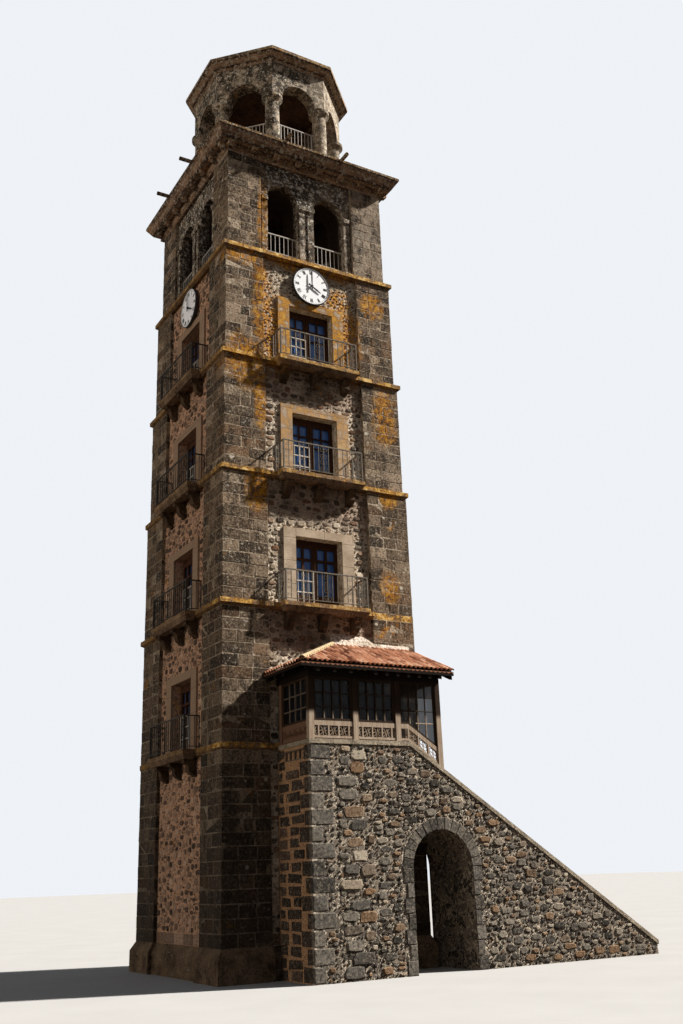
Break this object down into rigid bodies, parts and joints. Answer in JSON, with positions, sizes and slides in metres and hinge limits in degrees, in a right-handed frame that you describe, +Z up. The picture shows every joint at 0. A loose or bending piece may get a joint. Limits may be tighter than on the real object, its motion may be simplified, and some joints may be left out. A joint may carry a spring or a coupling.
{
  "type": "church bell tower with a stair porch",
  "caption": "Square masonry bell tower with balconies on each storey, twin belfry arches, an octagonal lantern, clocks and a roofed stair porch at its foot.",
  "frame": {"origin": "On the ground at the middle of the tower's square plan", "axes": "+X right and -Y out of the front, seen facing the porch; +Z up"},
  "size_m": [12.837, 8.577, 28.25],
  "materials": {
    "basalt_ashlar": "Coursed grey-brown basalt blocks, weathered, with lichen and pale joints",
    "rubble_masonry": "Rubble and small stones in pale mortar",
    "porch_masonry": "Grey rubble with large corner blocks in pale mortar",
    "coping_stone": "Worn grey coping and step stone",
    "dressed_stone": "Smooth tan dressed stone around the doors",
    "floor_stone": "Plain stone flags",
    "painted_iron": "Old grey paint on wrought iron, dull and worn",
    "weathered_joinery": "Weathered grey-brown painted joinery",
    "window_glass": "Old window glass",
    "clock_face": "White enamelled dial, slightly weathered",
    "clock_hands": "Black painted hands",
    "porch_timber": "Weathered brown timber, pale where the sun reaches it",
    "roof_tiles": "Orange-red clay tiles",
    "lime_mortar": "White lime mortar fillet",
    "clay_spouts": "Fired clay rain spouts"
  },
  "bodies": {
    "tower": {"balcony_corbels": "basalt_ashlar", "balcony_doors": "weathered_joinery", "balcony_front_rails": "painted_iron", "balcony_side_rails": "painted_iron", "balcony_slabs": "basalt_ashlar", "belfry_railings": "painted_iron", "belfry_walls": "rubble_masonry", "clock_dials": "clock_face", "corner_piers": "basalt_ashlar", "cornice_modillions": "basalt_ashlar", "door_glass": "window_glass", "door_surrounds": "dressed_stone", "first_storey_walls": "rubble_masonry", "floors": "floor_stone", "fourth_storey_walls": "rubble_masonry", "ground_storey_walls": "rubble_masonry", "lantern_arches": "basalt_ashlar", "lantern_cornice": "basalt_ashlar", "lantern_piers": "basalt_ashlar", "lantern_railings": "painted_iron", "lantern_roof": "floor_stone", "main_cornice": "basalt_ashlar", "plinth": "basalt_ashlar", "porch_balustrades": "porch_timber", "porch_base": "porch_masonry", "porch_coping": "coping_stone", "porch_flashing": "lime_mortar", "porch_glass": "window_glass", "porch_landing": "coping_stone", "porch_plates": "porch_timber", "porch_posts": "porch_timber", "porch_rafters": "porch_timber", "porch_roof": "roof_tiles", "porch_windows": "porch_timber", "second_storey_walls": "rubble_masonry", "stair_core": "porch_masonry", "stair_steps": "coping_stone", "stair_walls": "porch_masonry", "string_courses": "basalt_ashlar", "third_storey_walls": "rubble_masonry", "waterspouts": "clay_spouts"},
    "front_minute_hand": {"front_minute_hand": "clock_hands"},
    "front_hour_hand": {"front_hour_hand": "clock_hands"},
    "left_minute_hand": {"left_minute_hand": "clock_hands"},
    "left_hour_hand": {"left_hour_hand": "clock_hands"}
  },
  "joints": [
    {"name": "front_minute_turn", "type": "hinge", "parent": "tower", "child": "front_minute_hand", "pos_m": [0, -2.873, 19.135], "axis": [0, 1, 0], "continuous": true},
    {"name": "front_hour_turn", "type": "hinge", "parent": "tower", "child": "front_hour_hand", "pos_m": [0, -2.847, 19.135], "axis": [0, 1, 0], "continuous": true},
    {"name": "left_minute_turn", "type": "hinge", "parent": "tower", "child": "left_minute_hand", "pos_m": [-2.873, 0, 19.135], "axis": [1, 0, 0], "continuous": true},
    {"name": "left_hour_turn", "type": "hinge", "parent": "tower", "child": "left_hour_hand", "pos_m": [-2.847, 0, 19.135], "axis": [1, 0, 0], "continuous": true}
  ],
  "couplings": [
    {"joint": "front_hour_turn", "follows": "front_minute_turn", "ratio": 0.083333},
    {"joint": "left_minute_turn", "follows": "front_minute_turn", "ratio": 1},
    {"joint": "left_hour_turn", "follows": "front_minute_turn", "ratio": 0.083333}
  ]
}
